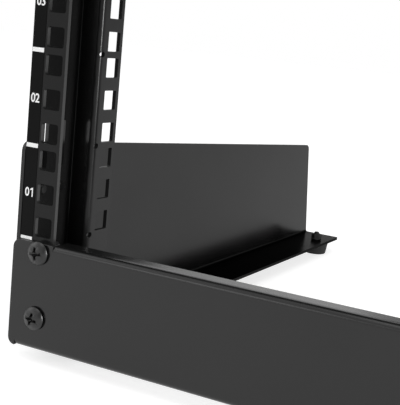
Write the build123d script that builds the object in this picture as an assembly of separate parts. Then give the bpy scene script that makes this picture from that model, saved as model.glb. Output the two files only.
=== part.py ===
from build123d import *
import math
import os

# A two post open frame rack for 19 inch equipment, twelve units high.
# +X is to the right of someone facing the rack, +Y runs back, +Z is up.
# The origin is on the floor, under the middle of the whole rack.
# All lengths are in millimetres.

# Rack standard
UNIT = 44.45
UNITS = 12
HOLE_SHARES = (1 / 7, 1 / 2, 6 / 7)
SQUARE_HOLE = 9.5
SQUARE_CORNER = 1.5
CLEAR_OPENING = 452.5
HOLE_FROM_OPENING = 6.3

# Posts
POST_SHEET = 2.0
POST_BEND = 0.8
FRONT_FLANGE = 19.7
WEB_DEPTH = 37.5
SIDE_FLANGE = 16.0
POST_DEPTH = 44.2
POST_ROOM = 4.55
SIDE_HOLE_EDGE = 7.0
INDEX_HOLE = 2.6
INDEX_TO_EDGE = 15.4
WEB_HOLE_OFFSETS = (10.8, 24.5)
SLOT_WIDTH = 3.0
SLOT_LENGTH = 23.0
SLOT_CORNER = 0.9
SLOT_DROP = 1.0

# Foot plates
PLATE_SHEET = 2.0
PLATE_BEND = 1.5
PLATE_LENGTH = 359.0
PLATE_FRONT_HEIGHT = 96.5
PLATE_TOP_FALL = 22.0
PLATE_REAR_LEAN = 13.0
PLATE_CORNER = 4.0
FLANGE_WIDTH = 30.5
FLANGE_CORNER = 1.5
TOE_ROOM = 0.3

# Cross beams
BEAM_SHEET = 2.0
BEAM_BEND = 1.0
BEAM_FLANGE = 11.0
BEAM_CORNER = 4.0
BEAM_UNIT_GAP = 0.7
FLANGE_TO_POST = 1.5

# Rubber feet
FOOT_HEIGHT = 9.0
FOOT_RADIUS = 9.8
FOOT_TAPER = 1.3
FOOT_EDGE = 1.5
FOOT_STEM = 2.5
FOOT_CAP_RADIUS = 4.0
FOOT_CAP = 1.0
FOOT_FROM_FRONT = 30.0
FOOT_FROM_REAR = 21.0
FOOT_FROM_OUTSIDE = 20.0

# Beam screws and their nuts
SCREW = 6.0
SCREW_LENGTH = 14.0
SCREW_HEAD_RADIUS = 5.7
SCREW_TOP_RADIUS = 3.6
SCREW_HEAD = 3.6
SCREW_HEAD_RIM = 1.6
SCREW_ROOM = 0.3
SCREW_LIFT = 0.9
NUT_ACROSS = 13.0
NUT_HEIGHT = 5.0
NUT_CORNER = 1.5

# Side screws, through the plate into the web
SIDE_SCREW = 5.0
SIDE_SCREW_LENGTH = 6.0
SIDE_HEAD_RADIUS = 4.6
SIDE_TOP_RADIUS = 2.9
SIDE_HEAD = 2.6
SIDE_HEAD_RIM = 1.1

# Unit number strips
STRIP_SHEET = 0.2
STRIP_EDGE = 0.6
STRIP_TO_HOLE = 1.6
STRIP_END_GAP = 0.5

# Sides of the polygons that stand for circles, and flats of each bend
BEND_FLATS = 3
HOLE_SIDES = 8
SCREW_SIDES = 12
FOOT_SIDES = 20

# Places worked out from the sizes above
FACE_X = CLEAR_OPENING / 2 + FRONT_FLANGE
PLATE_X = FACE_X + PLATE_SHEET
HOLE_X = CLEAR_OPENING / 2 + HOLE_FROM_OPENING
HOLE_OFFSETS = [UNIT * share for share in HOLE_SHARES]
TOTAL_DEPTH = BEAM_SHEET + SCREW_HEAD + PLATE_LENGTH
FRONT_Y = -TOTAL_DEPTH / 2 + BEAM_SHEET + SCREW_HEAD
RETURN_START = POST_DEPTH - SIDE_FLANGE
POST_BOTTOM = FOOT_HEIGHT + PLATE_SHEET + POST_ROOM
POST_LENGTH = (UNITS + 2) * UNIT
FIRST_UNIT = POST_BOTTOM + UNIT
LAST_UNIT = FIRST_UNIT + UNITS * UNIT
BEAM_BOTTOM = FOOT_HEIGHT - BEAM_SHEET
BEAM_HEIGHT = FIRST_UNIT - BEAM_UNIT_GAP - BEAM_BOTTOM
BEAM_MIDDLE = BEAM_BOTTOM + BEAM_HEIGHT / 2
MIDDLE_Z = (FIRST_UNIT + LAST_UNIT) / 2
SIDES = {"left": -1, "right": 1}


def hole_heights(first, count):
    """Heights of the hole centres of a run of units."""
    return [first + unit * UNIT + offset for unit in range(count) for offset in HOLE_OFFSETS]


def cut_corner_prism(width, height, corner, length):
    """A prism along its own Z with cut corners, for a square hole or a slot."""
    with BuildSketch() as outline:
        Rectangle(width, height)
        chamfer(outline.vertices(), corner)
    return extrude(outline.sketch, amount=length / 2, both=True)


def round_cutter(diameter, length):
    """A prism along its own Z that clears a round piece of this diameter."""
    outline = RegularPolygon(diameter / 2, HOLE_SIDES, major_radius=False)
    return extrude(outline, amount=length / 2, both=True)


def turned(sides, profile):
    """A stack of many-sided tapers, each a lower radius, an upper radius and two heights."""
    solid = Part()
    for low_radius, high_radius, low, high in profile:
        flat_step = (low_radius - high_radius) * math.cos(math.pi / sides)
        lean = math.degrees(math.atan2(flat_step, high - low))
        outline = RegularPolygon(low_radius, sides)
        solid += Pos(0, 0, low) * extrude(outline, amount=high - low, taper=lean)
    return solid


def with_flat_bends(section):
    """The same outline with each round bend made of a few flats."""
    corners = []
    for edge in section.wire().order_edges():
        steps = BEND_FLATS if edge.geom_type == GeomType.CIRCLE else 1
        points = [edge @ (step / steps) for step in range(steps + 1)]
        if corners and (points[0] - corners[-1]).length > (points[-1] - corners[-1]).length:
            points.reverse()
        corners += points[1:] if corners else points
    return make_face(Polyline(*corners[:-1], close=True))


def box_between(x0, x1, y0, y1, z0, z1):
    """A box from its lower to its upper corner."""
    box = Box(x1 - x0, y1 - y0, z1 - z0, align=(Align.MIN, Align.MIN, Align.MIN))
    return Pos(x0, y0, z0) * box


def on_side(solid, side):
    """The left piece as drawn, or its mirror image for the right."""
    return solid if SIDES[side] < 0 else mirror(solid, about=Plane.YZ)


def upside_down(solid):
    """The same piece mirrored to the top of the rack."""
    return mirror(solid, about=Plane.XY.offset(MIDDLE_Z))


def post_section():
    """The folded sheet of the left post, seen from above."""
    bend = POST_BEND + POST_SHEET
    inner_x = -CLEAR_OPENING / 2
    with BuildSketch() as section:
        with BuildLine():
            FilletPolyline(
                (inner_x, FRONT_Y),
                (-FACE_X, FRONT_Y),
                (-FACE_X, FRONT_Y + WEB_DEPTH),
                (inner_x - POST_SHEET, FRONT_Y + RETURN_START),
                (inner_x - POST_SHEET, FRONT_Y + POST_DEPTH),
                radius=(bend, bend, POST_BEND),
            )
            offset(amount=POST_SHEET, side=Side.RIGHT)
        make_face()
    return with_flat_bends(section.sketch)


def post():
    """The left post: folded section, front and side square holes, slots."""
    body = Pos(0, 0, POST_BOTTOM) * extrude(post_section(), amount=POST_LENGTH)
    through = POST_SHEET * 3
    front_y = FRONT_Y + POST_SHEET / 2
    side_x = -CLEAR_OPENING / 2 - POST_SHEET / 2
    side_y = FRONT_Y + POST_DEPTH - SIDE_HOLE_EDGE
    square = cut_corner_prism(SQUARE_HOLE, SQUARE_HOLE, SQUARE_CORNER, through)
    cuts = []
    for z in hole_heights(POST_BOTTOM, UNITS + 2):
        cuts.append(Pos(-HOLE_X, front_y, z) * Rot(90, 0, 0) * square)
        cuts.append(Pos(side_x, side_y, z) * Rot(0, 90, 0) * square)
    index_y = FRONT_Y + POST_DEPTH - INDEX_TO_EDGE
    index_hole = Rot(0, 90, 0) * round_cutter(INDEX_HOLE, through)
    for unit in range(UNITS + 1):
        cuts.append(Pos(side_x, index_y, FIRST_UNIT + unit * UNIT) * index_hole)
    web_x = -FACE_X + POST_SHEET / 2
    slot = Rot(0, 90, 0) * cut_corner_prism(SLOT_LENGTH, SLOT_WIDTH, SLOT_CORNER, POST_SHEET * 2)
    for depth in WEB_HOLE_OFFSETS:
        cuts.append(Pos(web_x, FRONT_Y + depth, FIRST_UNIT + UNIT - SLOT_DROP) * slot)
    for depth, z in side_screw_places():
        cuts.append(Pos(web_x, depth, z) * side_screw_hole(POST_SHEET * 2))
    return body - cuts


def side_screw_places():
    """Depth and height of the screws between a foot plate and its post."""
    heights = (FIRST_UNIT + UNIT / 2, FIRST_UNIT - UNIT / 2)
    return [(FRONT_Y + depth, z) for depth in WEB_HOLE_OFFSETS for z in heights]


def side_screw_hole(length):
    """A cutter along X for one side screw."""
    return Rot(0, 90, 0) * round_cutter(SIDE_SCREW + SCREW_ROOM * 2, length)


def foot_plate():
    """The left foot plate: an angle with a tapered upright leg and a level lower leg."""
    with BuildSketch(Plane.XZ) as section:
        with BuildLine():
            FilletPolyline(
                (-PLATE_X, FOOT_HEIGHT + PLATE_FRONT_HEIGHT),
                (-PLATE_X, FOOT_HEIGHT),
                (-PLATE_X + FLANGE_WIDTH, FOOT_HEIGHT),
                radius=PLATE_BEND + PLATE_SHEET,
            )
            offset(amount=PLATE_SHEET, side=Side.LEFT)
        make_face()
    angle = extrude(with_flat_bends(section.sketch), amount=PLATE_LENGTH, dir=(0, 1, 0))
    body = Pos(0, FRONT_Y, 0) * angle
    rear = FRONT_Y + PLATE_LENGTH
    crease = FOOT_HEIGHT + PLATE_SHEET + PLATE_BEND
    top = FOOT_HEIGHT + PLATE_FRONT_HEIGHT
    with BuildSketch(Plane.YZ) as outline:
        with BuildLine():
            Polyline(
                (FRONT_Y, FOOT_HEIGHT),
                (FRONT_Y, top),
                (rear - PLATE_REAR_LEAN, top - PLATE_TOP_FALL),
                (rear, crease),
                (rear, FOOT_HEIGHT),
                close=True,
            )
        make_face()
        fillet(outline.vertices().sort_by(Axis.Y)[-2:], PLATE_CORNER)
        toe = outline.vertices().group_by(Axis.Y)[0].sort_by(Axis.X)[0]
        chamfer(toe, BEAM_BEND + TOE_ROOM)
    body = body & (Pos(-PLATE_X, 0, 0) * extrude(outline.sketch, amount=FLANGE_WIDTH))
    inner_edges = body.edges().filter_by(Axis.Z).group_by(Axis.X)[-1]
    body = fillet(inner_edges, FLANGE_CORNER)
    plate_x = -PLATE_X + PLATE_SHEET / 2
    cuts = [Pos(plate_x, y, z) * side_screw_hole(PLATE_SHEET * 2) for y, z in side_screw_places()]
    stem_hole = round_cutter(FOOT_STEM * 2, PLATE_SHEET * 3)
    cuts += [Pos(-PLATE_X + FOOT_FROM_OUTSIDE, y, FOOT_HEIGHT) * stem_hole for y in foot_depths()]
    return body - cuts


def foot_depths():
    """Depths of the front and rear rubber feet."""
    return (FRONT_Y + FOOT_FROM_FRONT, FRONT_Y + PLATE_LENGTH - FOOT_FROM_REAR)


def rubber_foot():
    """A tapered rubber foot whose stem passes through the lower leg to a small cap."""
    over = FOOT_HEIGHT + PLATE_SHEET
    stem = FOOT_STEM - SCREW_ROOM
    tread = FOOT_RADIUS - FOOT_TAPER
    profile = [
        (tread - FOOT_EDGE, tread, 0, FOOT_EDGE),
        (tread, FOOT_RADIUS, FOOT_EDGE, FOOT_HEIGHT),
        (stem, stem, FOOT_HEIGHT, over),
        (FOOT_CAP_RADIUS, FOOT_CAP_RADIUS - FOOT_CAP / 2, over, over + FOOT_CAP),
    ]
    return turned(FOOT_SIDES, profile)


def beam():
    """The bottom beam: a channel whose upper flange fits between the posts."""
    half = PLATE_X
    top = BEAM_BOTTOM + BEAM_HEIGHT
    back = FRONT_Y + BEAM_FLANGE - BEAM_SHEET
    face_y = FRONT_Y - BEAM_SHEET
    with BuildSketch(Plane.YZ) as section:
        with BuildLine():
            FilletPolyline(
                (back, BEAM_BOTTOM),
                (face_y, BEAM_BOTTOM),
                (face_y, top),
                (back, top),
                radius=BEAM_BEND + BEAM_SHEET,
            )
            offset(amount=BEAM_SHEET, side=Side.RIGHT)
        make_face()
    body = extrude(with_flat_bends(section.sketch), amount=half, both=True)
    with BuildSketch(Plane.XZ) as face:
        with Locations((0, BEAM_MIDDLE)):
            RectangleRounded(half * 2, BEAM_HEIGHT, BEAM_CORNER)
    front_skin = Pos(0, FRONT_Y, 0) * extrude(face.sketch, amount=BEAM_SHEET)
    lower_half = half - BEAM_CORNER
    upper_half = CLEAR_OPENING / 2 - FLANGE_TO_POST
    lower_room = box_between(-lower_half, lower_half, face_y, back, BEAM_BOTTOM, BEAM_MIDDLE)
    upper_room = box_between(-upper_half, upper_half, face_y, back, BEAM_MIDDLE, top)
    body = body & (front_skin + lower_room + upper_room)
    hole = Rot(90, 0, 0) * round_cutter(SCREW + SCREW_ROOM * 2, BEAM_SHEET * 3)
    return body - [Pos(x, FRONT_Y, z) * hole for x, z in beam_screw_places()]


def beam_screw_places():
    """Places of the bottom beam's screws, in the outer holes of the unit behind it."""
    upper = POST_BOTTOM + HOLE_OFFSETS[-1] + SCREW_LIFT
    lower = POST_BOTTOM + HOLE_OFFSETS[0] + SCREW_LIFT
    return [(x, z) for x in (-HOLE_X, HOLE_X) for z in (upper, lower)]


def pan_screw(diameter, length, head_radius, top_radius, head, rim):
    """A pan head screw along -Z: its head stands on the XY plane, its shank hangs below."""
    profile = [
        (diameter / 2, diameter / 2, -length, 0),
        (head_radius, head_radius, 0, rim),
        (head_radius, top_radius, rim, head),
    ]
    return turned(SCREW_SIDES, profile)


def square_nut():
    """A square nut along Z with a clear bore and cut corners."""
    blank = cut_corner_prism(NUT_ACROSS, NUT_ACROSS, NUT_CORNER, NUT_HEIGHT)
    bore = round_cutter(SCREW + SCREW_ROOM * 2, NUT_HEIGHT * 2)
    return Pos(0, 0, NUT_HEIGHT / 2) * (blank - bore)


def strip():
    """The left unit number strip, on the post's front flange outside its holes."""
    x0 = -FACE_X + STRIP_EDGE
    x1 = -HOLE_X - SQUARE_HOLE / 2 - STRIP_TO_HOLE
    z0 = FIRST_UNIT - STRIP_END_GAP
    return box_between(x0, x1, FRONT_Y - STRIP_SHEET, FRONT_Y, z0, LAST_UNIT + STRIP_END_GAP)


def side_pieces():
    """Posts, foot plates, strips, feet and side screws of both sides."""
    parts = {}
    left_pieces = {"post": post(), "foot_plate": foot_plate(), "unit_strip": strip()}
    foot_x = -PLATE_X + FOOT_FROM_OUTSIDE
    for place, y in zip(("front", "rear"), foot_depths()):
        left_pieces[f"rubber_foot_{place}"] = Pos(foot_x, y, 0) * rubber_foot()
    side_screw = Rot(0, -90, 0) * pan_screw(
        SIDE_SCREW, SIDE_SCREW_LENGTH, SIDE_HEAD_RADIUS, SIDE_TOP_RADIUS, SIDE_HEAD, SIDE_HEAD_RIM
    )
    places = ["front_upper", "front_lower", "rear_upper", "rear_lower"]
    for place, (y, z) in zip(places, side_screw_places()):
        left_pieces[f"side_screw_{place}"] = Pos(-PLATE_X, y, z) * side_screw
    for kind, solid in left_pieces.items():
        for side in SIDES:
            parts[side_name(kind, side)] = on_side(solid, side)
    return parts


def side_name(kind, side):
    """The piece's name with its side put before its place."""
    for stem in ("rubber_foot_", "side_screw_"):
        if kind.startswith(stem):
            return f"{stem}{side}_{kind[len(stem):]}"
    return f"{kind}_{side}"


def cross_pieces():
    """Both beams with their screws and nuts."""
    bottom = {"beam": beam()}
    screw = Rot(90, 0, 0) * pan_screw(
        SCREW, SCREW_LENGTH, SCREW_HEAD_RADIUS, SCREW_TOP_RADIUS, SCREW_HEAD, SCREW_HEAD_RIM
    )
    nut = Rot(-90, 0, 0) * square_nut()
    places = ["left_upper", "left_lower", "right_upper", "right_lower"]
    for place, (x, z) in zip(places, beam_screw_places()):
        bottom[f"beam_screw_{place}"] = Pos(x, FRONT_Y - BEAM_SHEET, z) * screw
        bottom[f"beam_nut_{place}"] = Pos(x, FRONT_Y + POST_SHEET, z) * nut
    parts = {f"bottom_{kind}": solid for kind, solid in bottom.items()}
    parts.update({f"top_{kind}": upside_down(solid) for kind, solid in bottom.items()})
    return parts


def main():
    """Writes each piece to its own STEP file."""
    os.makedirs("parts", exist_ok=True)
    pieces = side_pieces()
    pieces.update(cross_pieces())
    for name, solid in pieces.items():
        export_step(solid, f"parts/{name}.step")


main()
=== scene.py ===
import math

import bmesh
import bpy
import numpy as np
from mathutils import Matrix


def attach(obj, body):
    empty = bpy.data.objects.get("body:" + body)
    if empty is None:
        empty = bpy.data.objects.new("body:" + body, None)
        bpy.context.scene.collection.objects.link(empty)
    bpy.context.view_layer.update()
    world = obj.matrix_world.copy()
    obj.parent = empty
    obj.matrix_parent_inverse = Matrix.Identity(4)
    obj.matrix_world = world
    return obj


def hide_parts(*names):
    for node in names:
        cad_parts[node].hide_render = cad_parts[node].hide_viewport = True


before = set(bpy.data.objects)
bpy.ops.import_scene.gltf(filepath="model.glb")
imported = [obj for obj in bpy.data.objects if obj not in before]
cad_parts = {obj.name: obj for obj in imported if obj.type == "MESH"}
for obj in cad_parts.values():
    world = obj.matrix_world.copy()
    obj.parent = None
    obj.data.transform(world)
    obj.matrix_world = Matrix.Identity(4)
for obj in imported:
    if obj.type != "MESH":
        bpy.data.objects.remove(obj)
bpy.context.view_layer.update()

# -------- sizes, in millimetres
# They repeat the rack's CAD sizes. X runs across the rack, Y back, Z up from the floor.
MM = 0.001
UNIT = 44.45
UNITS = 12
HOLE_OFFSETS = UNIT * np.array([1 / 7, 1 / 2, 6 / 7])
SQUARE_HALF = 4.75
FRONT_CORNER = 1.3
SIDE_CORNER = 0.45
OPENING_X = 226.25
HOLE_X = 232.55
FACE_X = 245.95
PLATE_X = 247.95
SHEET = 2.0
PLATE_LENGTH = 359.0
# The beam and its screw heads stand this far before the posts' front faces, at FRONT_Y.
FRONT_REACH = 5.6
FRONT_Y = -(PLATE_LENGTH + FRONT_REACH) / 2 + FRONT_REACH
POST_BOTTOM = 15.55
POST_LENGTH = (UNITS + 2) * UNIT
FIRST_UNIT = POST_BOTTOM + UNIT
LAST_UNIT = FIRST_UNIT + UNITS * UNIT
MIDDLE_Z = (FIRST_UNIT + LAST_UNIT) / 2
WEB_DEPTH = 37.5
RETURN_START = 28.2
POST_DEPTH = 44.2
SIDE_HOLE_Y = POST_DEPTH - 7.0
INDEX_Y = POST_DEPTH - 15.4
INDEX_RADIUS = 1.3
SLOT_DEPTHS = (12.4, 25.3)
SIDE_SCREW_DEPTHS = (10.8, 24.5)
SLOT_HALF = (1.5, 11.5)
SLOT_CORNER = 0.9
SLOT_Z = FIRST_UNIT + UNIT - 1.0
BEAM_BOTTOM = 7.0
BEAM_TOP = 59.3
BEAM_FLANGE_BACK = 9.0
BEAM_CORNER = 4.0
PLATE_BOTTOM = 9.0
PLATE_TOP = 105.5
PLATE_FALL = 22.0
PLATE_LEAN = 13.0
LEG_WIDTH = 30.5
FOOT_PLACES = {"front": FRONT_Y + 30.0, "rear": FRONT_Y + PLATE_LENGTH - 21.0}
FOOT_X = PLATE_X - 20.0
STRIP_OUTER_X = FACE_X - 0.6
STRIP_INNER_X = HOLE_X + SQUARE_HALF + 1.1
STRIP_FRONT_Y = FRONT_Y - 0.2
SCREW_LIFT = 0.9
SIDES = {"left": -1.0, "right": 1.0}

# -------- meshes


def to_mesh(name, points, faces, smooth=True, sharp=None):
    """A mesh in metres from points in millimetres and faces given as lists of corners. Edges
    bent by more than the sharp angle, in degrees, are creased."""
    mesh = bpy.data.meshes.new(name)
    mesh.from_pydata((np.asarray(points, float) * MM).tolist(), [], faces)
    mesh.validate()
    mesh.polygons.foreach_set("use_smooth", [smooth] * len(mesh.polygons))
    mesh.update()
    if sharp:
        mesh.set_sharp_from_angle(angle=math.radians(sharp))
    return mesh


def new_object(name, data):
    """An object in the scene."""
    made = bpy.data.objects.new(name, data)
    bpy.context.scene.collection.objects.link(made)
    return made


def add_piece(name, mesh, material, nodes=()):
    """Puts a mesh in the scene as a piece that rides on the rack. It stands for the CAD nodes
    that are named."""
    mesh.materials.append(material)
    piece = new_object(name, mesh)
    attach(piece, "root")
    if nodes:
        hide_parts(*nodes)
    return piece


def merged(patches):
    """Joins grids of points and faces into one, with points closer than a micrometre made one."""
    points = np.concatenate([p for p, _ in patches])
    starts = np.cumsum([0] + [len(p) for p, _ in patches[:-1]])
    faces = np.concatenate([f + start for (_, f), start in zip(patches, starts)])
    keys = np.round(points * 1000).astype(np.int64)
    _, first, where = np.unique(keys, axis=0, return_index=True, return_inverse=True)
    faces = where.reshape(-1)[faces]
    used, corners = np.unique(faces, return_inverse=True)
    return points[first][used], corners.reshape(faces.shape)


def quads(index):
    """Four-cornered faces between the neighbours in a table of point numbers."""
    corners = (index[:-1, :-1], index[1:, :-1], index[1:, 1:], index[:-1, 1:])
    return np.stack([c.ravel() for c in corners], axis=1)


def grid_faces(columns, rows):
    """Four-cornered faces of a grid whose points run row by row within each column."""
    return quads(np.arange(columns * rows).reshape(columns, rows))


def patch(x, y, z):
    """A grid's points and faces, from its three tables of coordinates."""
    return np.stack([x, y, z], axis=-1).reshape(-1, 3), grid_faces(*x.shape)


def outward(points, faces):
    """A closed surface's faces, turned round if its volume is below nought. The volume is the
    sum of a cone from each face to the middle."""
    centred = points - points.mean(0)
    a, b, c, d = (centred[faces[:, k]] for k in range(4))
    cones = np.einsum("ij,ij->i", a, np.cross(b, c)) + np.einsum("ij,ij->i", a, np.cross(c, d))
    return faces[:, ::-1] if cones.sum() < 0 else faces


def ring_stack(radii, heights, angles, looped=False):
    """Rings about the Z axis: ring k has radius radii[k] and height heights[k] at each angle.
    Neighbour rings are joined all round. A looped stack also joins its last ring to its first;
    otherwise the first and last rings are closed to a point on the axis."""
    shape = (len(heights), len(angles))
    radii = np.broadcast_to(np.asarray(radii, float), shape)
    heights = np.asarray(heights, float)
    z = np.broadcast_to(heights if heights.ndim == 2 else heights[:, None], shape)
    if not looped:
        pole = np.zeros((1, len(angles)))
        radii = np.concatenate([pole, radii, pole])
        z = np.concatenate([pole + z[0].mean(), z, pole + z[-1].mean()])
    x, y = radii * np.cos(angles), radii * np.sin(angles)
    points = np.stack([x, y, z], axis=-1).reshape(-1, 3)
    index = np.arange(len(points)).reshape(x.shape)
    index = np.concatenate([index, index[:, :1]], axis=1)
    if looped:
        index = np.concatenate([index, index[:1]])
    points, faces = merged([(points, quads(index))])
    return points, outward(points, faces)


def plain_faces(faces):
    """Face lists without the corner that a fan at a pole repeats."""
    return [[c for k, c in enumerate(face) if c != face[k - 1]] for face in faces.tolist()]


def folded_line(corners, radii, marks, arc_steps=6):
    """The middle line of a folded sheet seen end on: straight runs between the corners, and at
    each inner corner an arc that touches both runs. marks gives, run by run, the distances from
    the run's first corner where a mesh line is wanted. Returns the points, how far along the line
    each one is, and for each run where its first corner would be on that scale."""
    corners = np.asarray(corners, float)
    steps = np.diff(corners, axis=0)
    lengths = np.hypot(*steps.T)
    along = steps / lengths[:, None]
    points, run_starts, travelled, trim = [], [], 0.0, 0.0
    places = []
    for run, (start, way, length) in enumerate(zip(corners[:-1], along, lengths)):
        last = run == len(lengths) - 1
        turn = 0.0 if last else math.acos(float(np.clip(way @ along[run + 1], -1, 1)))
        next_trim = 0.0 if last else radii[run] * math.tan(turn / 2)
        run_starts.append(travelled - trim)
        inside = [m for m in marks[run] if trim + 0.01 < m < length - next_trim - 0.01]
        for mark in [trim] + sorted(inside) + [length - next_trim]:
            points.append(start + way * mark)
            places.append(travelled - trim + mark)
        travelled += length - next_trim - trim
        if last:
            break
        side = np.sign(way[0] * along[run + 1][1] - way[1] * along[run + 1][0])
        across = side * np.array([-way[1], way[0]])
        bends = turn * np.arange(1, arc_steps) / arc_steps
        arc = points[-1] + radii[run] * (
            np.sin(bends)[:, None] * way + (1 - np.cos(bends))[:, None] * across
        )
        points.extend(arc)
        places.extend(travelled + radii[run] * bends)
        travelled += radii[run] * turn
        trim = next_trim
    return np.array(points), np.array(places), run_starts


def rounded_outline(side, share, half, corner, flat):
    """Points on a rounded rectangle. Side 0 is the lower one, and the sides go round to the left.
    A share of 0 to 1 runs along a side: half a corner arc, the flat, half an arc."""
    turned_half = np.where(side[:, None] % 2 == 0, half, half[::-1])
    reach, away = turned_half[:, 0], turned_half[:, 1]
    edge = 0.5 - flat
    lead = np.clip((edge - share) / edge, 0, 1)
    tail = np.clip((share - 1 + edge) / edge, 0, 1)
    middle = np.clip((share - edge) / max(2 * flat, 1e-9), 0, 1)
    straight = (2 * middle - 1) * (reach - corner)
    straight = np.where(flat > 0, straight, np.where(share < 0.5, corner - reach, reach - corner))
    bend = math.pi / 4 * (tail - lead)
    x = straight + corner * np.sin(bend)
    y = -away + corner * (1 - np.cos(bend))
    turn = side * math.pi / 2
    c, s = np.cos(turn), np.sin(turn)
    return np.stack([x * c - y * s, x * s + y * c], axis=1)


def pierced_grid(columns, rows, holes):
    """A flat grid over columns and rows in which each hole is a rounded outline inside a cell of
    grid lines. The cell's faces are replaced by a ring of faces between its border and the hole.
    A hole is (cell's low and high column, low and high row, centre, half sizes, corner, flat)."""
    count = len(rows)
    u, v = np.meshgrid(columns, rows, indexing="ij")
    points = [np.stack([u.ravel(), v.ravel()], axis=1)]
    index = np.arange(u.size).reshape(u.shape)
    solid = np.ones((len(columns) - 1, count - 1), bool)
    faces, total = [], u.size
    for low_u, high_u, low_v, high_v, centre, half, corner, flat in holes:
        i0, i1 = (int(np.abs(columns - w).argmin()) for w in (low_u, high_u))
        j0, j1 = (int(np.abs(rows - w).argmin()) for w in (low_v, high_v))
        solid[i0:i1, j0:j1] = False
        border = np.concatenate(
            [index[i0:i1, j0], index[i1, j0:j1], index[i1:i0:-1, j1], index[i0, j1:j0:-1]]
        )
        share_u = (columns[i0:i1] - columns[i0]) / (columns[i1] - columns[i0])
        share_v = (rows[j0:j1] - rows[j0]) / (rows[j1] - rows[j0])
        back_u = (columns[i1] - columns[i1:i0:-1]) / (columns[i1] - columns[i0])
        back_v = (rows[j1] - rows[j1:j0:-1]) / (rows[j1] - rows[j0])
        share = np.concatenate([share_u, share_v, back_u, back_v])
        side = np.repeat([0, 1, 2, 3], [i1 - i0, j1 - j0, i1 - i0, j1 - j0])
        inner = rounded_outline(side, share, np.array(half), corner, flat) + np.array(centre)
        points.append(inner)
        ring = total + np.arange(len(inner))
        total += len(inner)
        faces.append(np.stack([border, np.roll(border, -1), np.roll(ring, -1), ring], axis=1))
    cells = grid_faces(len(columns), count)[solid.ravel()]
    return np.concatenate(points), np.concatenate([cells] + faces)


def sheet_metal(piece, edge=0.3, edge_coat=None):
    """Gives a middle surface its wall, half to each side, and rounds the sheared edges. With an
    edge coat, the sheared edges take the material after the face's own."""
    wall = piece.modifiers.new("wall", "SOLIDIFY")
    wall.thickness = SHEET * MM
    wall.offset = 0.0
    wall.use_even_offset = True
    wall.use_rim = True
    if edge_coat:
        wall.material_offset_rim = 1
        piece.data.materials.append(edge_coat)
    rounding = piece.modifiers.new("sheared_edge", "BEVEL")
    rounding.width = edge * MM
    rounding.segments = 2
    rounding.limit_method = "ANGLE"
    rounding.angle_limit = math.radians(40)
    rounding.harden_normals = True
    return piece


def rounded_corner(a, b):
    """Bends the corner of a unit square into a quarter disc: each of the two numbers is
    shortened by the square root of one less half the other's square."""
    return a * np.sqrt(1 - b**2 / 2), b * np.sqrt(1 - a**2 / 2)


# -------- material parts


def node(tree, kind, label="", group=None, **inputs):
    """Adds a node, or a node group, and sets its input sockets by name."""
    made = tree.nodes.new(kind)
    made.label = label
    if group:
        made.node_tree = group
    for name, value in inputs.items():
        made.inputs[name.replace("_", " ")].default_value = value
    return made


def math_node(tree, operation, first, second):
    """The result of a maths node. Each of its two values is a number or another node's output."""
    made = node(tree, "ShaderNodeMath")
    made.operation = operation
    for socket, value in zip(made.inputs, (first, second)):
        if isinstance(value, float):
            socket.default_value = value
        else:
            tree.links.new(value, socket)
    return made.outputs[0]


def make_group(name, inputs, outputs):
    """An empty node group with named number inputs and named outputs."""
    group = bpy.data.node_groups.new(name, "ShaderNodeTree")
    for label, value in inputs.items():
        socket = group.interface.new_socket(label, in_out="INPUT", socket_type="NodeSocketFloat")
        socket.default_value = value
    for label in outputs:
        group.interface.new_socket(label, in_out="OUTPUT", socket_type="NodeSocketFloat")
    return group, group.nodes.new("NodeGroupInput"), group.nodes.new("NodeGroupOutput")


def remap(tree, value, low, high, new_low, new_high):
    """Carries a number from one range to another, clamped."""
    limits = {"From_Min": low, "From_Max": high, "To_Min": new_low, "To_Max": new_high}
    made = node(tree, "ShaderNodeMapRange", **limits)
    tree.links.new(value, made.inputs["Value"])
    return made.outputs["Result"]


def coat_grain_group():
    """Fine bumps of a baked coat: two sizes of noise added, and a slow cloud of tone."""
    group, given, out = make_group(
        "coat_grain", {"Grain Scale": 900.0, "Cloud Scale": 18.0}, ["Grain", "Cloud"]
    )
    link = group.links.new
    place = group.nodes.new("ShaderNodeTexCoord").outputs["Object"]
    fine = node(group, "ShaderNodeTexNoise", "fine grain", Detail=2.0, Roughness=0.55)
    link(place, fine.inputs["Vector"])
    link(given.outputs["Grain Scale"], fine.inputs["Scale"])
    cells = node(group, "ShaderNodeTexVoronoi", "melted beads")
    cells.feature = "SMOOTH_F1"
    link(place, cells.inputs["Vector"])
    link(given.outputs["Grain Scale"], cells.inputs["Scale"])
    blend = node(group, "ShaderNodeMath", "beads and grain")
    blend.operation = "MULTIPLY_ADD"
    blend.inputs[1].default_value = -0.6
    link(cells.outputs["Distance"], blend.inputs[0])
    link(fine.outputs["Fac"], blend.inputs[2])
    link(blend.outputs[0], out.inputs["Grain"])
    cloud = node(group, "ShaderNodeTexNoise", "slow cloud", Detail=3.0, Roughness=0.5)
    link(place, cloud.inputs["Vector"])
    link(given.outputs["Cloud Scale"], cloud.inputs["Scale"])
    link(cloud.outputs["Fac"], out.inputs["Cloud"])
    return group


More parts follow.
